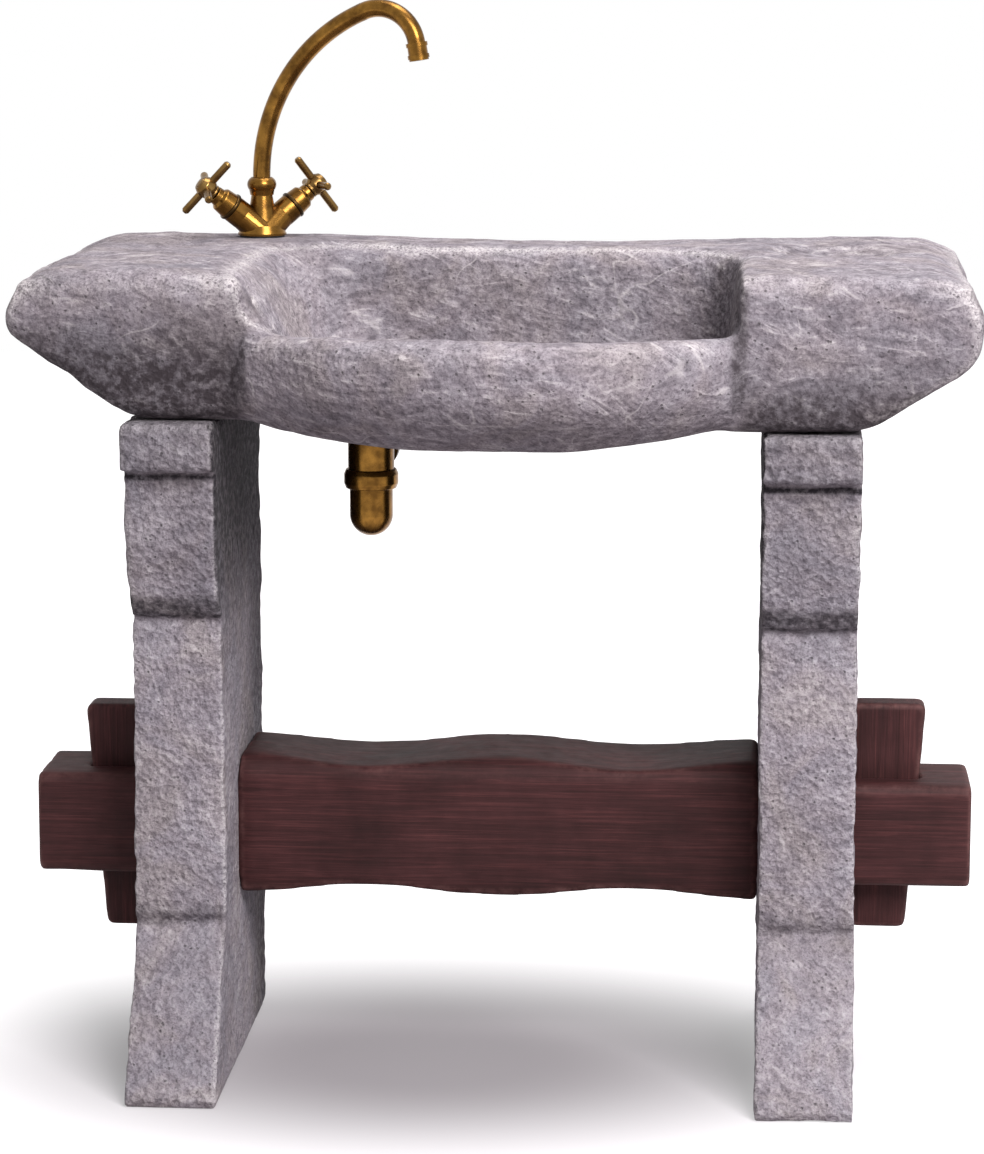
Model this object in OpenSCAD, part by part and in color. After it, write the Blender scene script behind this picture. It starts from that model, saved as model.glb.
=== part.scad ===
// Stone garden sink: a carved slab with a bow-fronted basin on two carved stone legs,
// tied by a wooden stretcher with wedged tenons, with a brass mixer tap and a bottle trap.
// Millimetres. X runs to the right, Y to the back, Z up from the ground.

/* [Sink top] */
// Height of the top face above the ground
top_height = 800; // [760:1:860]
// Length of the slab from end to end
top_width = 918; // [860:1:1000]
// Depth of the slab without the bowed basin front
top_depth = 445; // [430:1:500]
// Thickness of the slab over the legs
top_thickness = 143; // [125:1:160]
// Height of the upright part of the left end above its sloping underside
left_end_face = 57; // [35:1:65]
// Height of the upright part of the right end, whose underside is fuller
right_end_face = 78; // [45:1:84]
// How much lower the slab's underside lies on the right than on the left
right_sag = 6; // [0:1:10]
// How far the left wing's front face leans back at its foot
left_undercut = 18; // [0:1:24]
// How far the right wing's front face leans back at its foot
right_undercut = 8; // [0:1:24]
// Rounding of the top arrises
top_edge_r = 18; // [6:1:20]
// Rounding of the slab's corners seen from above
corner_r = 14; // [8:1:35]

/* [Bowed front] */
// Width of the basin front that bows out of the slab
bow_width = 470; // [440:1:480]
// How far the bow stands out in front of the slab
bow_reach = 80; // [60:1:95]
// How far the front rim lies below the top face
rim_drop = 58; // [45:1:70]
// Thickness of the front rim
rim_wall = 38; // [30:1:50]

/* [Basin] */
// Width of the basin at the top
basin_width = 462; // [420:1:464]
// Depth of the basin below the top face
basin_depth = 110; // [95:1:112]
// Stone left under the basin floor
floor_thickness = 54; // [48:1:60]
// Width of the ledge behind the basin at its left corner, beside the tap
left_ledge = 97; // [90:1:110]
// Width of the ledge behind the basin at its right corner
right_ledge = 182; // [140:1:190]
// Radius of the two back corners of the basin
basin_corner_r = 96; // [60:1:100]
// How much the walls lean in on their way down
basin_draft = 16; // [8:1:24]
// How much more the left wall leans in than the others
left_lean = 38; // [10:1:44]
// How much more the back wall leans in than the others
back_lean = 18; // [0:1:24]
// How far the rim is eased down on the left and at the back
rim_ease = 14; // [0:1:18]

/* [Soap hollow] */
// Length of the hollow in the right wing
soap_length = 104; // [90:1:120]
// Width of the hollow
soap_width = 120; // [100:1:130]
// Depth of the hollow
soap_depth = 9; // [8:1:12]
// Number of drip ribs in the hollow
soap_ribs = 5; // [3:1:6]
// Width of one drip rib
soap_rib = 5; // [4:1:7]

/* [Legs] */
// Clear width between the legs
leg_gap = 520; // [500:1:530]
// Thickness of each leg
leg_thickness = 88; // [80:1:92]
// Depth of the leg's plain shaft
shaft_depth = 288; // [270:1:310]
// How far the shaft stands behind the slab's front
shaft_setback = 60; // [54:1:70]
// How much thicker the right leg is, towards the middle
right_leg_extra = 5; // [0:1:10]
// How far the foot stands out in front of the shaft
foot_reach = 90; // [60:1:110]
// Height of the flared foot
foot_height = 160; // [120:1:170]
// How far the carved cap stands out in front of the shaft
cap_reach = 56; // [45:1:60]
// How far the carved bracket stands out in front of the shaft
bracket_reach = 36; // [25:1:44]
// Height of the carved bracket under its cap
bracket_height = 146; // [120:1:160]
// Height of the carved cap at the head of the leg
cap_height = 50; // [44:1:64]
// Depth of the carved grooves
groove = 16; // [6:1:18]
// Diameter of the steel dowels between leg and slab
dowel_d = 12; // [8:1:16]
// Length of a dowel
dowel_length = 60; // [40:1:70]
// Distance between the two dowels of one leg
dowel_spacing = 170; // [150:1:190]

/* [Stretcher] */
// Height of the stretcher's centre line above the ground
beam_z = 236; // [220:1:260]
// Greatest height of the stretcher's section
beam_height = 140; // [124:1:144]
// Thickness of the stretcher from front to back
beam_thickness = 126; // [116:1:136]
// Height of the waves cut along the stretcher
beam_wave = 10; // [4:1:12]
// Rounding of the stretcher's upper front arris
beam_r = 22; // [6:1:30]
// Distance of the stretcher's centre behind the shaft's front
beam_setback = 159; // [140:1:164]
// Height of a tenon
tenon_height = 103; // [86:1:108]
// Thickness of a tenon from front to back
tenon_thickness = 114; // [100:1:116]
// How far a tenon stands out of its leg
tenon_reach = 116; // [100:1:130]
// Rounding of the tenon's arrises
tenon_r = 9; // [4:1:12]
// Play between a tenon and the mortise round it
mortise_play = 1; // [0.5:0.1:2]

/* [Wedges] */
// Height of a wedge
wedge_height = 228; // [200:1:250]
// Width of a wedge at its top
wedge_width = 72; // [60:1:78]
// How much narrower a wedge is at its foot
wedge_taper = 18; // [10:1:24]
// Thickness of a wedge from front to back
wedge_thickness = 36; // [28:1:44]
// How far the wedge stands up above the tenon
wedge_stand = 62; // [50:1:80]
// How much higher the right wedge stands than the left
wedge_rise = 12; // [0:1:20]
// How far the wedge's slot runs in behind the leg's face
wedge_draw = 8; // [3:1:12]

/* [Tap] */
// Distance of the tap's centre left of the middle of the slab
tap_left = 262; // [252:1:270]
// Distance of the tap's centre from the slab's back edge
tap_back = 50; // [44:1:60]
// Turn of the tap towards the basin
tap_turn = 27; // [0:1:45]
// Diameter of the tap's foot
tap_foot_d = 50; // [48:1:56]
// Diameter of the hole for the tap
tap_hole_d = 35; // [33:1:38]
// Stone left under the tap where it is clamped
tap_stone = 45; // [35:1:60]
// Rise of the valve arms above the level
arm_angle = 38; // [33:1:42]
// Distance along an arm from the tap's axis to its end
arm_length = 41; // [39:1:46]
// Diameter of a valve arm
arm_d = 28; // [26:1:30]
// Distance along an arm to the middle of the handle
handle_reach = 76; // [75:1:82]
// Span of a cross handle from tip to tip
handle_span = 70; // [60:1:84]
// Diameter of a handle's arms
handle_rod_d = 8; // [6:0.5:9]
// Diameter of a handle's hub
hub_d = 21; // [19:1:24]
// Turn of the left handle on its axis
left_handle_turn = -23; // [-45:1:45]

/* [Spout] */
// Diameter of the spout tube
spout_d = 18; // [16:0.5:19]
// Wall of the spout tube
spout_wall = 1.6; // [1:0.1:2.5]
// Height above the stone where the spout starts to bend
spout_rise = 62; // [60:1:80]
// Radius of the long lower bend
spout_r1 = 182; // [160:1:220]
// Angle of the long lower bend
spout_a1 = 66.5; // [50:0.5:70]
// Radius of the crook at the top
spout_r2 = 41; // [38:1:60]
// Angle of the crook at the top
spout_a2 = 104; // [96:1:120]
// Direction of the spout, turned from the right towards the front
spout_turn = 15; // [0:1:60]
// Diameter of the aerator
aerator_d = 22; // [22:0.5:26]
// Length of the aerator
aerator_length = 18; // [16:1:26]

/* [Waste and trap] */
// Distance of the drain left of the middle
drain_left = 125; // [90:1:140]
// Distance of the drain behind the slab's front
drain_setback = 150; // [140:1:175]
// Diameter of the waste's flange
flange_d = 70; // [62:1:80]
// Outside diameter of the waste's threaded tail
tail_d = 40; // [36:1:42]
// Outside diameter of the trap's body
trap_d = 45; // [44:1:50]
// Length of the trap's body
trap_length = 52; // [50:1:60]
// Outside diameter of the cup
cup_d = 42; // [40:1:43]
// Length of the cup under its bead
cup_length = 47; // [42:1:60]
// Diameter of the bead round the cup's mouth
bead_d = 53; // [51:1:58]
// Outside diameter of the pipe that the outlet takes
outlet_d = 32; // [28:1:32]
// Wall of the thin brass tubes
tube_wall = 1.5; // [1:0.1:2]

/* [Hidden] */

$fn = 64;
fit_gap = 0.05;      // radial clearance of a shaft in its bore
seat_gap = 0.2;      // clearance of a piece against its seat
stone_lit = "#a39ba2";
stone_leg = "#a09aa0";
timber = "#4a3032";
old_brass = "#a07c3c";
dark_brass = "#5e4524";
steel = "#8d8f92";
rubber = "#26262a";

// The whole depth is centred on Y = 0
front_y = -(top_depth + bow_reach) / 2;
slab_y = front_y + bow_reach;
back_y = slab_y + top_depth;
slab_z = top_height - top_thickness;
shaft_y = slab_y + shaft_setback;
leg_x = leg_gap / 2;
leg_out = leg_x + leg_thickness;
rim_z = top_height - rim_drop;
basin_z = top_height - basin_depth;
bow_z = basin_z - floor_thickness;
left_back = back_y - left_ledge;
right_back = back_y - right_ledge;

// Points of an arc about centre c
function arc_points(c, r, a0, sweep, n) =
    [for (i = [0:n]) c + r * [cos(a0 + sweep * i / n), sin(a0 + sweep * i / n)]];
function turn_of(v) = atan2(v.y, v.x);
function short_way(a) = a > 180 ? a - 360 : a < -180 ? a + 360 : a;
// The points that round one corner b of an outline, between its neighbours a and c
function round_corner(a, b, c, r, n) =
    r == 0 ? [b] :
    let (u = (a - b) / norm(a - b), v = (c - b) / norm(c - b),
        half = acos(u * v) / 2, m = b + (u + v) / norm(u + v) * r / sin(half),
        s = b + u * r / tan(half) - m, e = b + v * r / tan(half) - m)
    arc_points(m, r, turn_of(s), short_way(turn_of(e) - turn_of(s)), n);
// An outline given as [x, y, corner radius], with its corners rounded
function rounded(p, n = 6) =
    [for (i = [0:len(p) - 1])
        let (a = p[(i + len(p) - 1) % len(p)], b = p[i], c = p[(i + 1) % len(p)])
        each round_corner([a.x, a.y], [b.x, b.y], [c.x, c.y], b.z, n)];

// Outline in X and Z, made solid from y0 back to y1
module front_outline(points, y0, y1) {
    translate([0, y1, 0]) rotate([90, 0, 0]) linear_extrude(y1 - y0) polygon(points);
}
// Outline in Y and Z, made solid from x0 to x1
module side_outline(points, x0, x1) {
    translate([x0, 0, 0]) rotate([90, 0, 90]) linear_extrude(x1 - x0) polygon(points);
}
module tube(r_out, r_in, h) {
    difference() {
        cylinder(r = r_out, h = h);
        translate([0, 0, -1]) cylinder(r = r_in, h = h + 2);
    }
}

// The slab is what its front, side and plan outlines have in common
slab_half = top_width / 2;
left_slope_x = leg_out - 14;
right_slope_x = leg_out + 3;
right_z = slab_z - right_sag;
left_nose_r = 26;
right_nose_r = 44;
wing_r = 50;
under_r = 22;
module slab_side(z, undercut, x0, x1) {
    side_outline(rounded([
        [slab_y, top_height, top_edge_r], [back_y, top_height, top_edge_r / 2],
        [back_y, z, under_r / 2], [slab_y + undercut, z, under_r]]), x0, x1);
}
module slab() {
    intersection() {
        front_outline(rounded([
            [-slab_half, top_height, top_edge_r], [slab_half, top_height, top_edge_r],
            [slab_half, top_height - right_end_face, right_nose_r],
            [right_slope_x, right_z, wing_r], [bow_width / 2, right_z, 0],
            [-bow_width / 2, slab_z, 0], [-left_slope_x, slab_z, wing_r],
            [-slab_half, top_height - left_end_face, left_nose_r]]),
            slab_y, back_y);
        union() {
            slab_side(slab_z, left_undercut, -slab_half, 0);
            slab_side(right_z, right_undercut, 0, slab_half);
        }
        translate([0, 0, right_z]) linear_extrude(top_height - right_z) polygon(rounded([
            [-slab_half, slab_y, corner_r], [slab_half, slab_y, corner_r],
            [slab_half, back_y, corner_r], [-slab_half, back_y, corner_r]]));
    }
}
// Share of the bow's reach at x, full in the middle and nothing at the ends
bow_steps = 24;
bow_power = 2.4;
function bow(x) = 1 - pow(min(1, abs(2 * x / bow_width)), bow_power);
function bow_line(width, y0) =
    [for (i = [0:bow_steps]) let (x = width * (i / bow_steps - 0.5))
        [x, y0 - bow_reach * bow(x)]];
// The bowed basin front is one skin over level slices. Its belly is drawn in downwards, from
// the sides and from the front, in chin_steps slices, and its rim is rounded in lip_steps.
belly_height = 72;
belly_side = 165;
belly_side_height = 30;
belly_front = 58;
belly_spread = 10;
chin_steps = 8;
bow_lip_r = 20;
lip_steps = 4;
bow_back = right_back - 10;
module bow_slice(z, side, front) {
    translate([0, 0, z]) linear_extrude(0.1) polygon(concat(
        bow_line(bow_width - 2 * side, slab_y + front),
        [[bow_width / 2 - side, bow_back], [side - bow_width / 2, bow_back]]));
}
// How far the side is drawn in at height h above the bottom, less than nothing where it swells
function bow_side(h) = belly_side * pow(1 - min(1, h / belly_side_height), 2)
    - belly_spread * max(0, 1 - abs(h / belly_side_height - 1) * 0.5);
module bowed_front() {
    hull() {
        for (i = [0:chin_steps]) {
            h = belly_height * pow(i / chin_steps, 1.5);
            bow_slice(bow_z + h, bow_side(h), belly_front * pow(1 - h / belly_height, 2));
        }
        for (i = [0:lip_steps]) {
            a = 90 * i / lip_steps;
            bow_slice(rim_z - 0.1 - bow_lip_r * (1 - sin(a)), 0, bow_lip_r * (1 - cos(a)));
        }
    }
}
// Plan of the basin, drawn in by inset all round and by more on the left and at the back
function basin_plan(inset, left, back) =
    let (x0 = inset + left - basin_width / 2, x1 = basin_width / 2 - inset,
        y0 = slab_y + rim_wall + inset)
    rounded(concat(
        [for (i = [0:bow_steps]) let (x = x0 + (x1 - x0) * i / bow_steps)
            [x, y0 - bow_reach * bow(x), 0]],
        [[x1, right_back - inset - back, basin_corner_r - inset],
            [x0, left_back - inset - back, basin_corner_r - inset]]), 9);
basin_sole_r = 20;
// One level slice of the basin, at a share of the way from its floor's edge up to the top
module basin_slice(z, inset, lean, h = 0.1) {
    translate([0, 0, z]) linear_extrude(h)
        polygon(basin_plan(inset, left_lean * lean, back_lean * lean));
}
ease_z = top_height - 26;
module basin_cut() {
    hull() {
        basin_slice(top_height, 0, 0, 10);
        basin_slice(basin_z + basin_sole_r, basin_draft * 0.7, 0.7);
        basin_slice(basin_z + basin_sole_r * 0.3, basin_draft, 1);
        basin_slice(basin_z, basin_draft + basin_sole_r * 0.7, 1.2);
    }
    hull() {
        basin_slice(ease_z, basin_draft * 0.2, 0.2);
        translate([0, 0, top_height]) linear_extrude(1)
            polygon(basin_plan(0, -rim_ease, -rim_ease / 2));
    }
}
// Everything above the front rim is cut away between the wings. On the left the rim climbs
// to the wing in a short ramp.
rim_ramp = 46;
rim_climb = 26;
module rim_gap() {
    left = -basin_width / 2;
    front_outline([[left, top_height + 1], [left, rim_z + rim_climb],
        [left + rim_ramp * 0.2, rim_z + rim_climb * 0.58],
        [left + rim_ramp * 0.56, rim_z + rim_climb * 0.16], [left + rim_ramp, rim_z],
        [basin_width / 2, rim_z], [basin_width / 2, top_height + 1]],
        front_y - 1, slab_y + rim_wall + 1);
}
soap_x = (slab_half + basin_width / 2) / 2 - 22;
soap_y = right_back - 3;
module soap_hollow() {
    rib_pitch = soap_length / (soap_ribs + 1);
    hollow_z = top_height - soap_depth;
    difference() {
        translate([soap_x, soap_y, hollow_z]) linear_extrude(soap_depth + 1)
            polygon(rounded([for (c = [[-1, -1], [1, -1], [1, 1], [-1, 1]])
                [c.x * soap_length / 2, c.y * soap_width / 2, soap_width / 3]]));
        for (i = [1:soap_ribs])
            translate([soap_x - soap_length / 2 + i * rib_pitch - soap_rib / 2,
                soap_y - soap_width / 2 + 10, hollow_z - 1])
                cube([soap_rib, soap_width - 20, soap_depth / 3 + 1]);
    }
}

drain = [-drain_left, slab_y + drain_setback];
flange_t = 3;
gasket_t = 1.5;
drain_hole_r = tail_d / 2 + 3;
recess_top = basin_z - 25;
recess_r = flange_d / 2 + 12;
tap_at = [-tap_left, back_y - tap_back];
tap_seat = top_height - tap_stone;
tap_recess_r = tap_hole_d / 2 + 14;
module sink_top() {
    color(stone_lit) difference() {
        union() {
            slab();
            bowed_front();
        }
        rim_gap();
        basin_cut();
        soap_hollow();
        translate([drain.x, drain.y, bow_z - 1]) {
            cylinder(r = drain_hole_r, h = basin_z - bow_z + 2);
            cylinder(r = recess_r, h = recess_top - bow_z + 1);
            translate([0, 0, floor_thickness + 1 - flange_t - gasket_t])
                cylinder(r = flange_d / 2 + 1, h = flange_t + gasket_t + 5);
        }
        translate([tap_at.x, tap_at.y, slab_z - 1]) {
            cylinder(d = tap_hole_d, h = top_thickness + 2);
            cylinder(r = tap_recess_r, h = tap_seat - slab_z + 1);
        }
        dowels(fit_gap);
    }
}

// Dowels stand half in the leg and half in the slab
dowel_y = shaft_y + shaft_depth / 2;
module dowels(play) {
    for (sx = [-1, 1], sy = [-1, 1])
        translate([sx * (leg_x + leg_thickness / 2), dowel_y + sy * dowel_spacing / 2,
            (sx < 0 ? slab_z : right_z) - dowel_length / 2 - play])
            cylinder(d = dowel_d + 2 * play, h = dowel_length + 2 * play);
}
module locating_dowels() {
    color(steel) dowels(0);
}

// A leg is its side outline: cap, bracket, shaft and flared foot
shaft_back = shaft_y + shaft_depth;
module leg(x0, x1, top) {
    f = shaft_y;
    cap_z = top - cap_height;
    bracket_z = cap_z - bracket_height;
    difference() {
        side_outline(rounded([
            [f - cap_reach, top, 8], [f - cap_reach, cap_z + 4, 8],
            [f - bracket_reach + groove / 2, cap_z + 2, 1], [f - bracket_reach, cap_z - 3, 2],
            [f - bracket_reach * 0.9, cap_z - bracket_height * 0.45, 60],
            [f - bracket_reach * 0.5, bracket_z + 26, 20],
            [f - bracket_reach * 0.1, bracket_z + 4, 3], [f + groove / 2, bracket_z, 1],
            [f, bracket_z - 9, 3], [f, foot_height + 10, 0], [f + groove / 3, foot_height, 0],
            [f - 4, foot_height - 8, 4], [f - foot_reach, 10, 7],
            [f - foot_reach + 3, 0, 0], [shaft_back, 0, 4], [shaft_back, top, 4]]),
            x0, x1);
        translate([x0 - 1, beam_y - tenon_thickness / 2 - mortise_play, tenon_z])
            cube([x1 - x0 + 2, tenon_thickness + 2 * mortise_play,
                tenon_height + mortise_play]);
        dowels(fit_gap);
    }
}
module leg_left() {
    color(stone_leg) leg(-leg_out, -leg_x, slab_z);
}
module leg_right() {
    color(stone_leg) leg(leg_x - right_leg_extra, leg_out, right_z);
}

// The stretcher: a waved bar between the legs and a tenon through each leg
beam_y = shaft_y + beam_setback;
tenon_z = beam_z - tenon_height / 2 - 3;
tenon_end = leg_out + tenon_reach;
beam_steps = 48;
beam_end = leg_x - seat_gap;
function wave(x) = beam_wave / 2 * (1 + cos(720 * x / leg_gap));
function beam_edge(side) = [for (i = [0:beam_steps])
    let (x = side * beam_end * (1 - 2 * i / beam_steps))
    [x, beam_z + side * (beam_height / 2 - beam_wave + wave(x))]];
module wedge_slots() {
    low = tenon_z - 1;
    high = tenon_z + tenon_height + 1;
    for (side = [0, 1]) mirror([1 - side, 0, 0])
        front_outline([
            [leg_out - wedge_draw, low], [wedge_face(low - side * wedge_rise) + seat_gap, low],
            [wedge_face(high - side * wedge_rise) + seat_gap, high],
            [leg_out - wedge_draw, high]],
            beam_y - wedge_thickness / 2 - seat_gap, beam_y + wedge_thickness / 2 + seat_gap);
}
module stretcher_beam() {
    color(timber) difference() {
        union() {
            intersection() {
                front_outline(concat(beam_edge(1), beam_edge(-1)),
                    beam_y - beam_thickness / 2, beam_y + beam_thickness / 2);
                side_outline(rounded([
                    [beam_y - beam_thickness / 2, beam_z - beam_height / 2, beam_r / 3],
                    [beam_y + beam_thickness / 2, beam_z - beam_height / 2, beam_r / 3],
                    [beam_y + beam_thickness / 2, beam_z + beam_height / 2, beam_r / 3],
                    [beam_y - beam_thickness / 2, beam_z + beam_height / 2, beam_r]]),
                    -beam_end, beam_end - right_leg_extra);
            }
            side_outline(rounded([for (c = [[-1, 0], [1, 0], [1, 1], [-1, 1]])
                [beam_y + c.x * tenon_thickness / 2, tenon_z + c.y * tenon_height, tenon_r]]),
                -tenon_end, tenon_end);
        }
        wedge_slots();
    }
}

// Wedges bear on the leg's outer face and on the sloping end of their slot
wedge_top = tenon_z + tenon_height + wedge_stand;
wedge_foot = wedge_top - wedge_height;
wedge_r = 7;
function wedge_face(z) =
    leg_out + wedge_width - wedge_taper * (wedge_top - z) / wedge_height;
module wedge() {
    front_outline(rounded([
        [leg_out + seat_gap, wedge_top, 2], [wedge_face(wedge_top), wedge_top, wedge_r],
        [wedge_face(wedge_foot), wedge_foot, wedge_r], [leg_out + seat_gap, wedge_foot, 2]]),
        beam_y - wedge_thickness / 2, beam_y + wedge_thickness / 2);
}
module wedge_left() {
    color(timber) mirror([1, 0, 0]) wedge();
}
module wedge_right() {
    color(timber) translate([0, 0, wedge_rise]) wedge();
}

// Places the tap's own frame: its foot on the stone, its arms along X
module at_tap() {
    translate([tap_at.x, tap_at.y, top_height]) rotate([0, 0, tap_turn]) children();
}
// Places the frame of one valve: Z along its axis, from the middle of the tap
arm_z = 5;
module at_arm(side) {
    at_tap() translate([0, 0, arm_z]) rotate([0, side * (90 - arm_angle), 0]) children();
}
tap_gasket_t = 2;
foot_t = 2;
body_z = tap_gasket_t + foot_t;
stud_d = 8;
inlet_r = 4.5;
inlet_off = 10.5;
inlet_depth = 12;
inlet_turn = 90;
neck_r = 11;
neck_top = 50;
bush_r = 10.4;
bush_bottom = 28;
valve_r = 8.5;
valve_seat = 24;
module tap_gasket() {
    color(rubber) at_tap() tube(tap_foot_d / 2 - 2, tap_hole_d / 2 - 2, tap_gasket_t);
}
module tap_body() {
    color(old_brass) difference() {
        at_tap() {
            translate([0, 0, tap_gasket_t]) cylinder(d = tap_foot_d, h = foot_t);
            translate([0, 0, body_z]) cylinder(d1 = tap_foot_d - 1, d2 = tap_foot_d - 6, h = 8);
            for (side = [-1, 1]) hull() {
                translate([0, 0, body_z]) cylinder(d = tap_foot_d - 6, h = 3, $fn = 32);
                translate([0, 0, arm_z]) rotate([0, side * (90 - arm_angle), 0])
                    translate([0, 0, arm_length - 12]) cylinder(d = arm_d - 1.2, h = 2, $fn = 32);
            }
            for (side = [-1, 1]) translate([0, 0, arm_z]) rotate([0, side * (90 - arm_angle), 0])
                translate([0, 0, arm_length - 14]) cylinder(d = arm_d, h = 14);
            translate([0, 0, body_z]) cylinder(r1 = 17, r2 = neck_r, h = neck_top - 8 - body_z);
            translate([0, 0, body_z]) cylinder(r = neck_r, h = neck_top - body_z);
        }
        at_tap() translate([0, 0, bush_bottom]) cylinder(r = bush_r + fit_gap, h = neck_top);
        at_tap() translate([0, 0, 20]) cylinder(r = 6, h = 10);
        at_tap() translate([0, 0, -1]) cylinder(d = stud_d + 2 * fit_gap, h = 15);
        at_tap() rotate([0, 0, inlet_turn]) for (side = [-1, 1])
            translate([side * inlet_off, 0, tap_gasket_t - 1])
                cylinder(r = inlet_r, h = inlet_depth + 1);
        for (side = [-1, 1]) at_arm(side) translate([0, 0, valve_seat])
            cylinder(r = valve_r + fit_gap, h = arm_length);
    }
}
clamp_t = 3;
nut_h = 6.5;
module tap_stud() {
    color(steel) at_tap() translate([0, 0, -tap_stone - 2 * clamp_t - nut_h - 8])
        cylinder(d = stud_d, h = tap_stone + 2 * clamp_t + nut_h + 8 + 13);
}
module clamp_disc(z) {
    at_tap() translate([0, 0, z]) difference() {
        cylinder(r = tap_recess_r - 4, h = clamp_t);
        translate([0, 0, -1]) cylinder(r = stud_d / 2 + fit_gap, h = clamp_t + 2);
        rotate([0, 0, inlet_turn]) for (side = [-1, 1])
            translate([side * inlet_off, 0, -1]) cylinder(r = inlet_r + 0.3, h = clamp_t + 2);
    }
}
module clamp_washer() {
    color(rubber) clamp_disc(-tap_stone - clamp_t);
}
module clamp_plate() {
    color(steel) clamp_disc(-tap_stone - 2 * clamp_t);
}
module clamp_nut() {
    color(steel) at_tap() translate([0, 0, -tap_stone - 2 * clamp_t - nut_h]) difference() {
        cylinder(r = 4.9 / cos(30), h = nut_h, $fn = 6);
        translate([0, 0, -1]) cylinder(r = stud_d / 2 + fit_gap, h = nut_h + 2);
    }
}

// The spout stands in a bush in the neck and is held by the ball nut
nut_top = spout_rise - 1;
nut_r = 14;
spout_bottom = bush_bottom + 1;
module spout_bush() {
    color("ivory") at_tap() translate([0, 0, bush_bottom + seat_gap])
        tube(bush_r, spout_d / 2, neck_top - bush_bottom - 1);
}
module spout_nut() {
    color(old_brass) at_tap() difference() {
        rotate_extrude() polygon(concat([[0, neck_top - 7], [nut_r - 2, neck_top - 7]],
            arc_points([nut_r - 7.5, (neck_top + nut_top) / 2 - 2], 8.5, -40, 100, 10),
            [[spout_d / 2 + 2, nut_top], [0, nut_top]]));
        translate([0, 0, neck_top - 8]) cylinder(r = neck_r + fit_gap, h = 8.2);
        cylinder(r = spout_d / 2 + fit_gap, h = nut_top + 1);
    }
}
// Places a frame after a bend of radius r and angle a, with Z along the tube
module after_bend(r, a) {
    translate([r, 0, 0]) rotate([0, a, 0]) translate([-r, 0, 0]) children();
}
module spout_ring(swell = 0) {
    difference() {
        circle(r = spout_d / 2 + swell);
        circle(r = spout_d / 2 - spout_wall - swell);
    }
}
module bend(r, a) {
    translate([r, 0, 0]) rotate([90, 0, 0]) rotate([0, 0, 180 - a])
        rotate_extrude(angle = a) translate([r, 0]) spout_ring();
}
module at_spout() {
    translate([tap_at.x, tap_at.y, top_height]) rotate([0, 0, -spout_turn]) children();
}
module at_spout_end() {
    at_spout() translate([0, 0, spout_rise]) after_bend(spout_r1, spout_a1)
        translate([0, 0, spout_link]) after_bend(spout_r2, spout_a2) children();
}
spout_end = 6;   // straight end of the tube inside the aerator
spout_link = 4;  // straight stretch between the two bends
link_swell = 0.1;
// The tube is drawn a hair thinner where it stands in its bush
stand_swell = -0.04;
module spout_tube() {
    color(old_brass) at_spout() {
        translate([0, 0, spout_bottom]) linear_extrude(spout_rise - spout_bottom)
            spout_ring(stand_swell);
        translate([0, 0, spout_rise]) {
            bend(spout_r1, spout_a1);
            after_bend(spout_r1, spout_a1) {
                linear_extrude(spout_link) spout_ring(link_swell);
                translate([0, 0, spout_link]) {
                    bend(spout_r2, spout_a2);
                    after_bend(spout_r2, spout_a2) linear_extrude(spout_end) spout_ring();
                }
            }
        }
    }
}
aerator_wall = 2;
insert_h = 7;
module aerator_housing() {
    color(old_brass) at_spout_end() difference() {
        union() {
            cylinder(d = aerator_d - 2, h = aerator_length);
            cylinder(d = aerator_d, h = 4);
            translate([0, 0, aerator_length - 6]) cylinder(d = aerator_d, h = 4);
        }
        translate([0, 0, -1]) cylinder(r = spout_d / 2 + fit_gap, h = spout_end + 1);
        translate([0, 0, -1]) cylinder(r = spout_d / 2 - spout_wall, h = aerator_length + 2);
        translate([0, 0, aerator_length - insert_h - 1])
            cylinder(r = aerator_d / 2 - 1 - aerator_wall + fit_gap, h = insert_h + 2);
    }
}
insert_holes = 8;
module aerator_insert() {
    color(steel) at_spout_end() translate([0, 0, aerator_length - insert_h - 1 + seat_gap])
        difference() {
            cylinder(r = aerator_d / 2 - 1 - aerator_wall, h = insert_h);
            for (i = [1:insert_holes]) rotate([0, 0, i * 360 / insert_holes])
                translate([aerator_d / 4 - 1, 0, -1]) cylinder(d = 2, h = insert_h + 2);
            translate([0, 0, -1]) cylinder(d = 2, h = insert_h + 2);
        }
}

// Each valve screws into its arm: cartridge, collar, bonnet, then spindle and cross handle
valve_top = arm_length + 12;
spindle_r = 4;
collar_h = 4;
collar_r = arm_d / 2 + 1;
bonnet_top = handle_reach - 11;
hub_low = bonnet_top + 0.6;
hub_high = handle_reach + 9;
module valve(side) {
    at_arm(side) difference() {
        union() {
            translate([0, 0, valve_seat + seat_gap]) cylinder(r = valve_r, h = valve_top - valve_seat);
            translate([0, 0, arm_length + 1]) cylinder(r = valve_r + 1.5, h = collar_h - 1, $fn = 6);
        }
        translate([0, 0, valve_seat + 8]) cylinder(r = spindle_r + fit_gap, h = valve_top);
    }
}
module collar(side) {
    at_arm(side) translate([0, 0, arm_length + seat_gap]) difference() {
        rotate_extrude() polygon(rounded([[0, 0, 0], [collar_r, 0, 1.5],
            [collar_r, collar_h, 1.5], [0, collar_h, 0]], 4));
        translate([0, 0, -1]) cylinder(r = valve_r + 2, h = collar_h + 2);
    }
}
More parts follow.
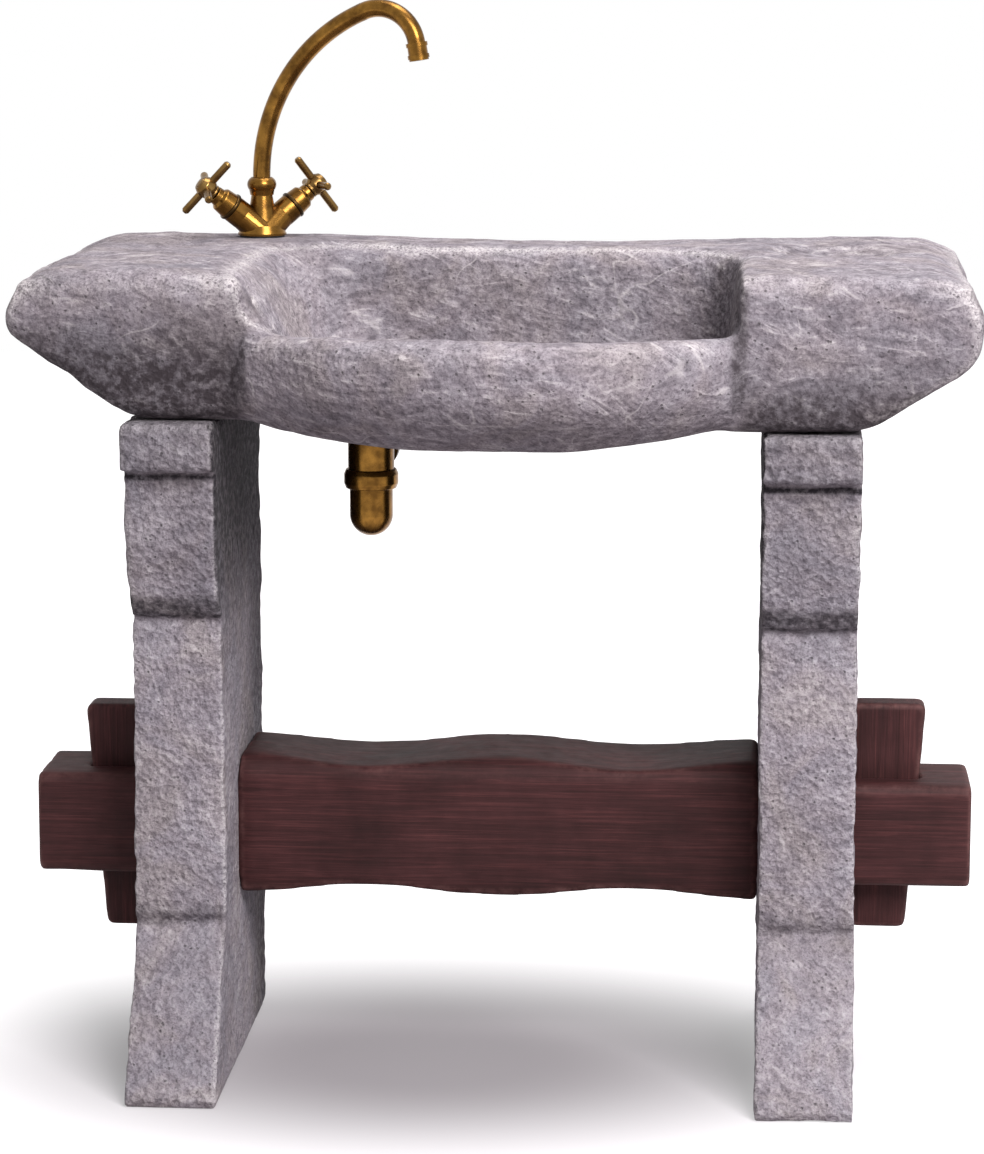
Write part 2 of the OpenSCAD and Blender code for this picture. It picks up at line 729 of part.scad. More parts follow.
module bonnet(side) {
    low = arm_length + collar_h + 2 * seat_gap;
    at_arm(side) difference() {
        rotate_extrude() polygon(rounded([[0, low, 0], [arm_d / 2 - 0.5, low, 0],
            [arm_d / 2 - 1.5, low + 11, 2.5], [hub_d / 2 - 1, low + 14, 1.5],
            [hub_d / 2 - 1.5, bonnet_top, 1], [0, bonnet_top, 0]], 4));
        translate([0, 0, low - 1]) cylinder(r = valve_r + 0.6, h = valve_top - low + 2.5);
        cylinder(r = spindle_r + fit_gap, h = bonnet_top + 1);
    }
}
module spindle(side) {
    at_arm(side) difference() {
        translate([0, 0, valve_seat + 9]) cylinder(r = spindle_r, h = handle_reach - valve_seat - 9);
        translate([0, 0, handle_reach - 9]) cylinder(r = 1.6, h = 10);
    }
}
cap_d = 12;
cap_t = 3;
screw_h = 3;
module handle(side, turn) {
    at_arm(side) rotate([0, 0, turn]) difference() {
        union() {
            rotate_extrude() polygon(rounded([[0, hub_low, 0], [hub_d / 2 - 1, hub_low, 1.5],
                [hub_d / 2 - 2, hub_low + 3, 1], [hub_d / 2, handle_reach - 4, 3],
                [hub_d / 2, handle_reach + 4, 3], [cap_d / 2 + 1.5, hub_high, 1.5],
                [0, hub_high, 0]], 4));
            for (i = [0:3]) translate([0, 0, handle_reach]) rotate([0, 0, 90 * i]) {
                rotate([0, 90, 0]) cylinder(d = handle_rod_d, h = handle_span / 2 - 2);
                translate([handle_span / 2 - 2, 0, 0]) rotate([0, 90, 0])
                    cylinder(d1 = handle_rod_d, d2 = handle_rod_d - 3, h = 2);
            }
        }
        translate([0, 0, hub_low - 1]) cylinder(r = spindle_r + fit_gap, h = handle_reach - hub_low + 1);
        cylinder(r = 2.1, h = hub_high);
        translate([0, 0, hub_high - cap_t - screw_h - 1])
            cylinder(d = cap_d + 2 * fit_gap, h = cap_t + screw_h + 2);
    }
}
module handle_screw(side) {
    at_arm(side) {
        translate([0, 0, hub_high - cap_t - screw_h - 1 + 0.05]) cylinder(d = 8, h = screw_h - 0.5);
        translate([0, 0, handle_reach - 8]) cylinder(r = 1.55, h = hub_high - handle_reach + 3);
    }
}
module handle_cap(side) {
    at_arm(side) rotate_extrude() polygon(rounded([[0, hub_high - cap_t, 0],
        [cap_d / 2, hub_high - cap_t, 0], [cap_d / 2, hub_high + 0.5, 1],
        [0, hub_high + 1.5, 0]], 4));
}

// The waste is clamped through the basin floor, and the trap hangs from its tail
flange_z = basin_z - flange_t;
trap_top = bow_z - 4;
trap_low = trap_top - trap_length;
tail_low = trap_top + 3.2;
module at_drain() {
    translate([drain.x, drain.y, 0]) children();
}
strainer_holes = 6;
module waste_strainer() {
    color(old_brass) at_drain() difference() {
        union() {
            translate([0, 0, flange_z]) cylinder(d = flange_d, h = flange_t - 0.5);
            translate([0, 0, tail_low]) cylinder(d = tail_d, h = flange_z - tail_low + 1);
        }
        translate([0, 0, tail_low - 1]) cylinder(r = tail_d / 2 - 3, h = flange_z - tail_low + 1);
        for (i = [1:strainer_holes]) rotate([0, 0, i * 360 / strainer_holes])
            translate([tail_d / 2 - 9, 0, flange_z - 2]) cylinder(d = 7, h = flange_t + 4);
        translate([0, 0, flange_z - 2]) cylinder(d = 7, h = flange_t + 4);
    }
}
module waste_gasket() {
    color(rubber) at_drain() translate([0, 0, flange_z - gasket_t])
        tube(flange_d / 2 - 1, tail_d / 2 + 0.3, gasket_t);
}
module waste_back_gasket() {
    color(rubber) at_drain() translate([0, 0, recess_top - 3])
        tube(tail_d / 2 + 12, tail_d / 2 + 0.3, 3);
}
module waste_back_nut() {
    color(old_brass) at_drain() translate([0, 0, recess_top - 12]) difference() {
        cylinder(r = tail_d / 2 + 11, h = 9, $fn = 6);
        translate([0, 0, -1]) cylinder(r = tail_d / 2 + fit_gap, h = 11);
    }
}
inlet_nut_r = 27.4;
lip_r = trap_d / 2 + 2;
lip_t = 3;
nut_lip = 2;
module trap_inlet_nut() {
    color(dark_brass) at_drain() difference() {
        translate([0, 0, trap_top - lip_t - nut_lip - seat_gap]) cylinder(r = inlet_nut_r, h = 23);
        translate([0, 0, trap_top - 9]) cylinder(r = trap_d / 2 + fit_gap, h = 12);
        translate([0, 0, trap_top - lip_t - seat_gap]) cylinder(r = lip_r + seat_gap, h = 7);
        translate([0, 0, trap_top]) cylinder(r = tail_d / 2 + fit_gap, h = 20);
    }
}
module trap_inlet_washer() {
    color(rubber) at_drain() translate([0, 0, trap_top]) tube(lip_r, tail_d / 2 - 4, 3);
}
outlet_z = trap_top - 20.5;
boss_r = outlet_d / 2 - 1;
socket_y = bead_d / 2 + 1.5;
socket_r = outlet_d / 2 + 3;
socket_length = 22;
trap_wall = 2.5;
dip_r = 13;
module trap_body() {
    color(old_brass) at_drain() difference() {
        union() {
            translate([0, 0, trap_low]) cylinder(d = trap_d, h = trap_length);
            translate([0, 0, trap_top - lip_t]) cylinder(r = lip_r, h = lip_t);
            translate([0, 0, outlet_z]) rotate([-90, 0, 0]) cylinder(r = boss_r, h = socket_y + 1);
            translate([0, socket_y, outlet_z]) rotate([-90, 0, 0])
                cylinder(r = socket_r, h = socket_length);
        }
        translate([0, 0, trap_low - 1]) cylinder(r = trap_d / 2 - trap_wall, h = trap_length - 5);
        cylinder(r = dip_r + fit_gap, h = trap_top + 1);
        translate([0, trap_d / 2 - 6, outlet_z]) rotate([-90, 0, 0])
            cylinder(r = boss_r - trap_wall, h = socket_y + socket_length);
        translate([0, socket_y + 4, outlet_z]) rotate([-90, 0, 0])
            cylinder(r = outlet_d / 2 + fit_gap, h = socket_length);
    }
}
module trap_dip_tube() {
    color(old_brass) at_drain() translate([0, 0, trap_low - 30])
        tube(dip_r, dip_r - tube_wall, trap_length + 30);
}
bead_low = trap_low - 3;
bead_high = bead_low + 19;
module trap_cup_seal() {
    color(rubber) at_drain() translate([0, 0, bead_low + 0.6])
        tube(trap_d / 2 - 0.3, cup_d / 2 - 3, 2.2);
}
module trap_cup() {
    ball_z = bead_low - cup_length + cup_d / 2;
    color(old_brass) at_drain() difference() {
        union() {
            translate([0, 0, ball_z]) sphere(d = cup_d);
            translate([0, 0, ball_z]) cylinder(d = cup_d, h = bead_low - ball_z + 1);
            rotate_extrude() polygon(rounded([[0, bead_low, 0], [bead_d / 2 - 2, bead_low, 1.5],
                [bead_d / 2, bead_low + 5, 4], [bead_d / 2, bead_high - 5, 4],
                [bead_d / 2 - 2, bead_high, 1.5], [0, bead_high, 0]], 4));
        }
        translate([0, 0, ball_z]) sphere(d = cup_d - 2 * trap_wall);
        translate([0, 0, ball_z]) cylinder(d = cup_d - 2 * trap_wall, h = bead_high - ball_z);
        translate([0, 0, bead_low + 0.4]) cylinder(r = trap_d / 2 + fit_gap, h = bead_high);
    }
}
module outlet_washer() {
    color(rubber) at_drain() translate([0, socket_y + socket_length + 0.2, outlet_z])
        rotate([-90, 0, 0]) tube(socket_r - 0.5, outlet_d / 2 + 0.1, 3);
}
outlet_nut_r = socket_r + 4;
module outlet_nut() {
    color(dark_brass) at_drain() translate([0, socket_y + socket_length - 12, outlet_z])
        rotate([-90, 0, 0]) difference() {
            cylinder(r = outlet_nut_r, h = 20);
            translate([0, 0, -1]) cylinder(r = socket_r + fit_gap, h = 16.4);
            cylinder(r = outlet_d / 2 + fit_gap, h = 21);
        }
}

module valve_left() {
    color(dark_brass) valve(-1);
}
module valve_right() {
    color(dark_brass) valve(1);
}
module collar_left() {
    color(dark_brass) collar(-1);
}
module collar_right() {
    color(dark_brass) collar(1);
}
module bonnet_left() {
    color(old_brass) bonnet(-1);
}
module bonnet_right() {
    color(old_brass) bonnet(1);
}
module spindle_left() {
    color(dark_brass) spindle(-1);
}
module spindle_right() {
    color(dark_brass) spindle(1);
}
module handle_left() {
    color(old_brass) handle(-1, left_handle_turn);
}
module handle_right() {
    color(old_brass) handle(1, 0);
}
module handle_screw_left() {
    color(steel) handle_screw(-1);
}
module handle_screw_right() {
    color(steel) handle_screw(1);
}
module handle_cap_left() {
    color(old_brass) handle_cap(-1);
}
module handle_cap_right() {
    color(old_brass) handle_cap(1);
}

sink_top();
leg_left();
leg_right();
locating_dowels();
stretcher_beam();
wedge_left();
wedge_right();
tap_gasket();
tap_body();
tap_stud();
clamp_washer();
clamp_plate();
clamp_nut();
spout_bush();
spout_nut();
spout_tube();
aerator_housing();
aerator_insert();
valve_left();
valve_right();
collar_left();
collar_right();
bonnet_left();
bonnet_right();
spindle_left();
spindle_right();
handle_left();
handle_right();
handle_screw_left();
handle_screw_right();
handle_cap_left();
handle_cap_right();
waste_strainer();
waste_gasket();
waste_back_gasket();
waste_back_nut();
trap_inlet_nut();
trap_inlet_washer();
trap_body();
trap_dip_tube();
trap_cup_seal();
trap_cup();
outlet_washer();
outlet_nut();
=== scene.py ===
import bmesh
import bpy
import numpy as np
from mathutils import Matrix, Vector


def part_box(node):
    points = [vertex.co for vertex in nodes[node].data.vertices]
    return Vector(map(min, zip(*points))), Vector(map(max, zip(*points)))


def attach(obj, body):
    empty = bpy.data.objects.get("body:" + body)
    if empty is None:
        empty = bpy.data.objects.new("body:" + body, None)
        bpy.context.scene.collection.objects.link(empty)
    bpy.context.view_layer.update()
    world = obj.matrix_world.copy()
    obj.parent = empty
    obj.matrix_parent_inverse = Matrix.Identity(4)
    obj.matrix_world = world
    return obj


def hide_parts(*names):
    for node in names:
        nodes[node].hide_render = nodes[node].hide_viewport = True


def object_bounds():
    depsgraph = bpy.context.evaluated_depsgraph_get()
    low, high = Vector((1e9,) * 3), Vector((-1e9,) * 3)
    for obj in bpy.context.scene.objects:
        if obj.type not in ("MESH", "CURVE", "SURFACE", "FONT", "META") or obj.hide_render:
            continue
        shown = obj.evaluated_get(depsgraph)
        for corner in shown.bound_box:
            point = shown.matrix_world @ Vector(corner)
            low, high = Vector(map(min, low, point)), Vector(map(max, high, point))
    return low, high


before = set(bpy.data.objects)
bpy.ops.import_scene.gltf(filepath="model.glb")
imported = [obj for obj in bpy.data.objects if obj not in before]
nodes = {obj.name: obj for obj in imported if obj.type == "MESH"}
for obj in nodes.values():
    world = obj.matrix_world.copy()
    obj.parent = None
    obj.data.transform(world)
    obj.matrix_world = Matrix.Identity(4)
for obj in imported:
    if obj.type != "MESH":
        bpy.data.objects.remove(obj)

cad_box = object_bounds()
scene = bpy.context.scene
scene.view_settings.view_transform = "Standard"

# Camera: it stands a little to the right of the sink's middle, at chest height, and looks
# slightly down through a long lens, which keeps the two legs upright.
camera_at = Vector((0.2550, -3.6586, 1.1310))
camera_to = Vector((-0.00057, -0.1225, 0.50585))
camera_data = bpy.data.cameras.new("camera")
camera_data.sensor_width = 36.0
camera_data.lens = 117.96
camera = bpy.data.objects.new("camera", camera_data)
scene.collection.objects.link(camera)
camera.location = camera_at
camera.rotation_mode = "QUATERNION"
camera.rotation_quaternion = (camera_to - camera_at).to_track_quat("-Z", "Y")
scene.camera = camera


# Legs: each is one block of grey-mauve volcanic stone, cut to cap, bracket, shaft and foot
# with a chisel and then pecked all over with a point. Use has rounded and chipped the arrises.
# They stand by their own weight, and dowels in their tops hold the slab.
leg_cell = 0.0029
leg_rounds = 9
leg_tool = {"sway": 0.0034, "chisel": 0.0022, "peck": 0.0016}
leg_chips = 0.0030
leg_front = -0.1225
# The lines under the cap and the bracket, measured down from the leg's top.
cap_depth = 0.050
bracket_depth = 0.196
foot_top = 0.160
wedge_x = 0.348
stretcher_y = 0.0365
stretcher_z = 0.234
stroke_size = (0.034, 0.034, 0.0075)
leg_lays = ((0.3, 0.5, 0.0), (0.2, -0.7, 0.4), (0.0, 1.4, 0.3))
# The darkest colour below is painted shade, laid in grooves, pores and shaded places.
leg_colours = {"shade": "#a29aa1", "body": "#bab2b8", "light": "#ccc4c9",
               "cool": "#b2b0b9", "warm": "#c2b8b3", "painted_shade_tone": "#2a252a", "rubbed": "#d6cfd2"}


def new_skin(node, name, cell):
    """The node's solid with an even skin. Its loose triangles are joined into one closed shell,
    the space inside is filled with cells of the given size, and the filled cells get a skin."""
    shell = bmesh.new()
    shell.from_mesh(nodes[node].data)
    bmesh.ops.remove_doubles(shell, verts=shell.verts, dist=1e-6)
    mesh = bpy.data.meshes.new(name + "_shell")
    shell.to_mesh(mesh)
    shell.free()
    piece = bpy.data.objects.new(name, mesh)
    scene.collection.objects.link(piece)
    cells = piece.modifiers.new("cells", "REMESH")
    cells.mode = "VOXEL"
    cells.voxel_size = cell
    cells.use_smooth_shade = True
    seen = piece.evaluated_get(bpy.context.evaluated_depsgraph_get())
    skin = bpy.data.meshes.new_from_object(seen)
    skin.name = name
    piece.modifiers.clear()
    piece.data = skin
    return piece


def points_of(mesh):
    """The mesh's points as rows of x, y and z."""
    points = np.empty(len(mesh.vertices) * 3)
    mesh.vertices.foreach_get("co", points)
    return points.reshape(-1, 3)


def normals_of(mesh):
    """The outward direction at each point of the mesh."""
    normals = np.empty(len(mesh.vertices) * 3)
    mesh.vertex_normals.foreach_get("vector", normals)
    return normals.reshape(-1, 3)


def note(mesh, name, values):
    """Keeps a value for each point of the mesh under the name, for its material to read."""
    mesh.attributes.new(name, "FLOAT", "POINT").data.foreach_set("value", values.astype(np.float32))


def lumps(points, size, seed):
    """A smooth random number from 0 to 1 for each point. Space is cut into boxes of the given
    size, each corner of a box gets a random number, and a point takes a mix of the eight corners
    round it, with S-shaped shares. The large primes scramble a corner's place into a number."""
    place = points / np.asarray(size)
    low = np.floor(place).astype(np.int64)
    share = place - low
    share = share * share * (3 - 2 * share)
    total = np.zeros(len(points))
    for corner in np.ndindex(2, 2, 2):
        at = low + corner
        key = at[:, 0] * 73856093 ^ at[:, 1] * 19349663 ^ at[:, 2] * 83492791 ^ seed * 7919
        key = (key & 0xFFFFFFFF) * 2246822519 & 0xFFFFFFFF
        key = (key ^ key >> 15) * 3266489917 & 0xFFFFFFFF
        key = key ^ key >> 16
        mix = np.where(corner, share, 1 - share).prod(axis=1)
        total += mix * key / 0xFFFFFFFF
    return total


def near(value, low, high):
    """0 up to low, 1 from high on, and an S-curve between them."""
    t = np.clip((value - low) / (high - low), 0, 1)
    return t * t * (3 - 2 * t)


def beside(value, centre, close, far):
    """1 where the value is within close of the centre, 0 from far on, an S-curve between."""
    return 1 - near(abs(value - centre), close, far)


def weathered(piece, rounds, softness, marks, chips, flush):
    """Rounds the arrises and roughens the faces. In each round a point goes softness of the way
    to the mean of its neighbours. Then the tools' marks move it along its normal, in where they
    are above 0 and out where they are below, and arrises lose chips as well. Where flush is 1,
    at a neighbour's seat, marks only go in. The attribute edge keeps how far a point sank in
    the rounds, in millimetres, above 0 on arrises and below 0 in grooves."""
    mesh = piece.data
    start = points_of(mesh)
    outward = normals_of(mesh)
    pairs = np.empty(len(mesh.edges) * 2, np.int64)
    mesh.edges.foreach_get("vertices", pairs)
    a, b = pairs.reshape(-1, 2).T
    count = np.bincount(pairs, minlength=len(start))[:, None]
    points = start.copy()
    pull = np.clip(softness(start), 0, 1)[:, None]
    for _ in range(rounds):
        total = np.stack([np.bincount(a, points[b, k], len(start))
                          + np.bincount(b, points[a, k], len(start)) for k in range(3)], axis=1)
        points += pull * (total / count - points)
    sunk = ((start - points) * outward).sum(axis=1) * 1000
    mesh.vertices.foreach_set("co", points.ravel())
    mesh.update()
    depth = marks(points)
    depth = np.where(depth < 0, depth * (1 - flush(points)), depth)
    depth += chips * near(sunk, 0.5, 1.6) * near(lumps(points, 0.016, 7), 0.55, 0.85)
    points -= normals_of(mesh) * depth[:, None]
    low, high = (np.array(corner) for corner in cad_box)
    points = np.clip(points, low, high)
    mesh.vertices.foreach_set("co", points.ravel())
    note(mesh, "edge", sunk)
    mesh.update()


def tooled(points, tool, seed):
    """How deep hand tools leave each point, about 0 on the whole: slow sways, hollows of the
    chisel that lie aslant, and small pecks, each a set of lumps of its own size."""
    slant = points @ np.array([[0.80, 0.0, -0.60], [0.0, 1.0, 0.0], [0.60, 0.0, 0.80]])
    return (tool["sway"] * (lumps(points, 0.110, seed) - 0.5)
            + tool["chisel"] * (lumps(slant, (0.052, 0.052, 0.020), seed + 1) - 0.5)
            + tool["peck"] * (lumps(points, 0.0085, seed + 2) - 0.5))


def linear(colour):
    """The linear red, green, blue and alpha of an sRGB hex colour."""
    parts = [int(colour[i:i + 2], 16) / 255 for i in (1, 3, 5)]
    return [p / 12.92 if p <= 0.04045 else ((p + 0.055) / 1.055) ** 2.4 for p in parts] + [1.0]


def plug(tree, node, inputs):
    """Gives each named socket of the node a value of its own or another node's output."""
    for key, value in inputs.items():
        if isinstance(value, bpy.types.NodeSocket):
            tree.links.new(value, node.inputs[key])
        else:
            node.inputs[key].default_value = value


def add(tree, kind, inputs, **settings):
    """Adds a node. settings are its own values, and inputs go to its sockets."""
    node = tree.nodes.new(kind)
    for key, value in settings.items():
        setattr(node, key, value)
    plug(tree, node, inputs)
    return node


def noise(tree, place, scale, detail, roughness=0.5, distortion=0.0):
    """A random number from 0 to 1, in lumps about 1 / scale metres wide."""
    return add(tree, "ShaderNodeTexNoise",
               {"Vector": place, "Scale": scale, "Detail": detail, "Roughness": roughness,
                "Distortion": distortion}).outputs["Fac"]


def spots(tree, place, scale):
    """How far each place is from the nearest of many points, in shares of their usual gap,
    which is 1 / scale metres."""
    return add(tree, "ShaderNodeTexVoronoi", {"Vector": place, "Scale": scale}).outputs["Distance"]


def spread(tree, value, low, high, to_low=0.0, to_high=1.0, **settings):
    """The value's range from low to high, spread over to_low to to_high and cut off there."""
    return add(tree, "ShaderNodeMapRange",
               {"Value": value, "From Min": low, "From Max": high, "To Min": to_low,
                "To Max": to_high}, **settings).outputs[0]


def maths(tree, operation, *values, **settings):
    """The operation done on its one or two values."""
    return add(tree, "ShaderNodeMath", dict(enumerate(values)), operation=operation,
               **settings).outputs[0]


def ramp(tree, value, stops):
    """The value's colour, between stops that are pairs of a value and an sRGB hex colour. The
    lowest stop comes first, then the highest, then one between them if there is one."""
    node = add(tree, "ShaderNodeValToRGB", {"Fac": value})
    elements = node.color_ramp.elements
    for i, (place, colour) in enumerate(stops):
        stop = elements[i] if i < 2 else elements.new(place)
        stop.position = place
        stop.color = linear(colour)
    return node.outputs[0]


def blend(tree, share, below, above, kind="MIX"):
    """The colour above, laid over the one below by its share."""
    return add(tree, "ShaderNodeMix", {"Factor": share, "A": below, "B": above},
               data_type="RGBA", blend_type=kind).outputs["Result"]


def bump(tree, height, strength, distance):
    """The direction of a surface with the relief of the height on it, of a depth in metres."""
    return add(tree, "ShaderNodeBump", {"Height": height, "Strength": strength,
                                        "Distance": distance}).outputs[0]


def noted(tree, name):
    """What the mesh's points keep under the name."""
    return add(tree, "ShaderNodeAttribute", {}, attribute_name=name).outputs["Fac"]


def new_material(name):
    """A new material with its node tree, its shader and the object's own coordinates."""
    material = bpy.data.materials.new(name)
    material.use_nodes = True
    tree = material.node_tree
    place = add(tree, "ShaderNodeTexCoord", {}).outputs["Object"]
    return material, tree, tree.nodes["Principled BSDF"], place


# Volcanic stone, worked by hand: matte, mottled in patches of 8 mm and grains of 2 mm, with
# wisps of paler stone along the chisel's strokes, thin pale veins and small open pores, painted
# dark inside as painted shade.
# Arrises are lightened in patches, partly rubbed wear and partly painted highlight, and painted
# shade darkens grooves, creases, undersides, the places under the slab and faces turned from the
# light.
def volcanic_stone(name, colours, lays, veins, pores, wisp, grain, pit, sinking):
    """lays are the three directions of the strokes. veins, pores, wisp and grain are how much of
    each shows, and pit is how deep the surface is pitted. sinking is about how far, in
    millimetres, the rounds of weathering move what gets the full painted shade in grooves or is
    fully rubbed pale."""
    material, tree, shader, place = new_material(name)
    cloud = noise(tree, place, 9, 7, 0.6, 0.5)
    drift = noise(tree, place, 13, 4, 0.5, 1.0)
    mottle = noise(tree, place, 120, 5, 0.65)
    grit = noise(tree, place, 420, 3, 0.75)
    wander = noise(tree, place, 17, 2)
    slow = noise(tree, place, 8, 2, 0.5, 0.4)

    drawn = []
    for turn in lays:
        lay = add(tree, "ShaderNodeMapping", {"Vector": place, "Rotation": turn,
                                              "Scale": stroke_size}, vector_type="TEXTURE")
        drawn.append(noise(tree, lay.outputs[0], 1, 4, 0.60, 0.7))
    strokes = drawn[0]
    for low, high, other in ((0.44, 0.52, drawn[1]), (0.52, 0.60, drawn[2])):
        strokes = add(tree, "ShaderNodeMix", {"Factor": spread(tree, wander, low, high),
                                              "A": strokes, "B": other}).outputs["Result"]

    body = ramp(tree, cloud, [(0.34, colours["shade"]), (0.68, colours["light"]),
                              (0.50, colours["body"])])
    cast = ramp(tree, drift, [(0.36, colours["cool"]), (0.64, colours["warm"]),
                              (0.50, colours["body"])])
    layer = blend(tree, 0.4, body, cast)
    for veil, share, stops in (
            (mottle, grain, [(0.32, "#9a949c"), (0.66, "#ffffff"), (0.46, "#dcd8dc")]),
            (grit, grain, [(0.34, "#8f8991"), (0.66, "#ffffff"), (0.47, "#e6e4e6")]),
            (strokes, wisp, [(0.36, "#857f87"), (0.62, "#ffffff"), (0.50, "#d9d6d9")])):
        layer = blend(tree, share, layer, ramp(tree, veil, stops), "MULTIPLY")

    pale = spread(tree, strokes, 0.58, 0.70, 0.0, wisp * 0.7)
    off = maths(tree, "ABSOLUTE", maths(tree, "SUBTRACT", slow, 0.5))
    veined = maths(tree, "MULTIPLY", spread(tree, off, 0.006, 0.001),
                   spread(tree, wander, 0.50, 0.62, 0.0, veins))
    # Pores: painted shade inside each hole, with a dent in the relief as well.
    hole = maths(tree, "MULTIPLY", spread(tree, spots(tree, place, 130), 0.22, 0.10),
                 spread(tree, mottle, 0.50, 0.56, 0.0, pores))
    edge = noted(tree, "edge")
    # Arrises where the rounds sank the skin are lightened: partly rubbed wear, partly a painted
    # highlight along the rounded arrises.
    rubbed = maths(tree, "MULTIPLY", spread(tree, edge, 0.12 * sinking, 0.4 + 0.8 * sinking),
                   spread(tree, grit, 0.38, 0.62, 0.1, 0.75))
    # Painted shade in the grooves, where the rounds lifted the skin (edge below 0).
    groove = spread(tree, edge, -0.2, -sinking, 0.0, 0.5)
    # Painted shade where the mesh marks it: under the slab, in creases, on undersides and on faces
    # turned from the light.
    painted_shade = maths(tree, "MULTIPLY", noted(tree, "painted_shade"),
                 spread(tree, mottle, 0.40, 0.60, 1.25, 0.75), use_clamp=True)
    for share, colour in ((pale, "rubbed"), (veined, "rubbed"), (rubbed, "rubbed"),
                          (groove, "painted_shade_tone"), (hole, "painted_shade_tone"), (painted_shade, "painted_shade_tone")):
        layer = blend(tree, share, layer, linear(colours[colour]))

    cupped = maths(tree, "MULTIPLY", spots(tree, place, 170), pit * 0.5)
    rough = maths(tree, "MULTIPLY", mottle, pit)
    drag = maths(tree, "MULTIPLY", strokes, wisp * 0.7)
    worked = maths(tree, "ADD", drag, maths(tree, "ADD", cupped, rough))
    height = maths(tree, "SUBTRACT", worked, hole)
    plug(tree, shader, {"Base Color": layer, "Normal": bump(tree, height, 1.0, 0.0036),
                        "Roughness": 0.9, "IOR": 1.5, "Specular IOR Level": 0.3})
    return material


def leg_softness(points, top_z):
    """Share of the way to its neighbours that a point goes in a round. The carved grooves in the
    leg's front stay sharp, and the arris on the ground stays sharper than the rest."""
    y, z = points[:, 1], points[:, 2]
    soft = 0.20 + 0.45 * lumps(points, 0.05, 5)
    front = 1 - near(y, leg_front + 0.020, leg_front + 0.040)
    for groove in (top_z - cap_depth, top_z - bracket_depth, foot_top):
        soft *= 1 - 0.9 * front * beside(z, groove, 0.006, 0.014)
    return soft * (0.55 + 0.45 * near(z, 0.004, 0.016))


def leg_flush(points, top_z):
    """1 on the sole, at the slab, at the stretcher and along the way that the wedge takes."""
    x, y, z = points.T
    track = beside(abs(x), wedge_x, 0.008, 0.020) * beside(y, stretcher_y, 0.025, 0.045)
    mortise = beside(y, stretcher_y, 0.070, 0.085) * beside(z, stretcher_z, 0.070, 0.085)
    seat = near(z, top_z - 0.010, top_z - 0.002)
    sole = 1 - near(z, 0.002, 0.010)
    return np.maximum.reduce([track, mortise, seat, sole])


def leg_painted_shade(points, outward, top_z):
    """Share of painted shade at each point: in the line under the cap, on the bracket's rolled
    underside, in the line over the foot, a little more towards the slab and on the cap, where the
    slab's shadow falls, and most on the leg's inner face up under the slab and at the back."""
    x, y, z = points.T
    cap_line, bracket_line = top_z - cap_depth, top_z - bracket_depth
    front = 1 - near(y, leg_front - 0.002, leg_front + 0.012)
    sway = 0.004 * (lumps(points, 0.03, 9) - 0.5)
    cap = 0.95 * beside(z + sway, cap_line - 0.003, 0.0015, 0.0045)
    roll = 0.72 * near(z, bracket_line - 0.004, bracket_line + 0.002) * (
        1 - near(z + 2 * sway, bracket_line + 0.018, bracket_line + 0.032))
    line = 0.9 * beside(z + sway, bracket_line + 0.002, 0.0015, 0.0045)
    foot = 0.50 * near(z + sway, foot_top - 0.003, foot_top) * (
        1 - near(z, foot_top + 0.003, foot_top + 0.026))
    lines = front * np.maximum.reduce([cap, line, roll, foot])
    high = (0.26 * near(z, 0.36, top_z - 0.02)
            + 0.12 * near(z, cap_line - 0.004, cap_line + 0.004))
    inner = near(-np.sign(x) * outward[:, 0], 0.4, 0.8)
    hidden = 0.97 * inner * near(z, top_z - 0.30, top_z - 0.08)
    back = 0.60 * inner * near(y, 0.0, 0.14)
    return np.maximum.reduce([lines, high, hidden, back])


leg_stone = volcanic_stone("pecked_volcanic_stone", leg_colours, leg_lays, veins=0.0, pores=0.5,
                           wisp=0.35, grain=0.65, pit=1.5, sinking=1.2)
for node, seed in (("leg_left", 11), ("leg_right", 47)):
    leg = new_skin(node, node + "_carved", leg_cell)
    leg_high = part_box(node)[1].z
    weathered(leg, leg_rounds, lambda p: leg_softness(p, leg_high),
              lambda p: tooled(p, leg_tool, seed), leg_chips, lambda p: leg_flush(p, leg_high))
    # The legs' painted shade is kept on their points for the stone to read.
    note(leg.data, "painted_shade", leg_painted_shade(points_of(leg.data), normals_of(leg.data), leg_high))
    leg.data.materials.append(leg_stone)
    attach(leg, "sink")
    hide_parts(node)


# Sink top: one thick slab of the same stone with a wing at each end and a basin cut down from
# above, whose front bows out between the wings. It is dressed finer than the legs, and lies
# on their tops, kept in place by dowels.
top_cell = 0.0042
top_rounds = 30
top_tool = {"sway": 0.0044, "chisel": 0.0030, "peck": 0.0010}
top_chips = 0.0026
back_dip = 0.005
end_wear = 0.007
dip_at = 0.05
# Places on the slab, some to the nearest 5 mm, because only soft edges start from them.
slab_low = 0.657
slab_high = 0.800
slab_end = 0.460
wing_front = -0.180
tap_at = (-0.262, 0.2125)
drain_at = (-0.125, -0.0325)
soap_at = (0.3215, 0.0775)
basin_floor = 0.690
basin_half = 0.230
basin_left = -0.236
basin_back = 0.1655
back_slant = 0.184
crease_at = 0.2325
top_lays = ((0.1, 0.14, 0.0), (0.2, -0.24, 0.4), (-0.1, 0.55, 0.3))
# The darkest colour below is painted shade, laid in grooves, pores and shaded places.
top_colours = {"shade": "#979096", "body": "#aea6ab", "light": "#beb6bb",
               "cool": "#aaa7ae", "warm": "#b9afab", "painted_shade_tone": "#332c30", "rubbed": "#d6cecf"}


def apart(points, centre):
    """How far each point is from an upright line through the centre."""
    return np.hypot(points[:, 0] - centre[0], points[:, 1] - centre[1])


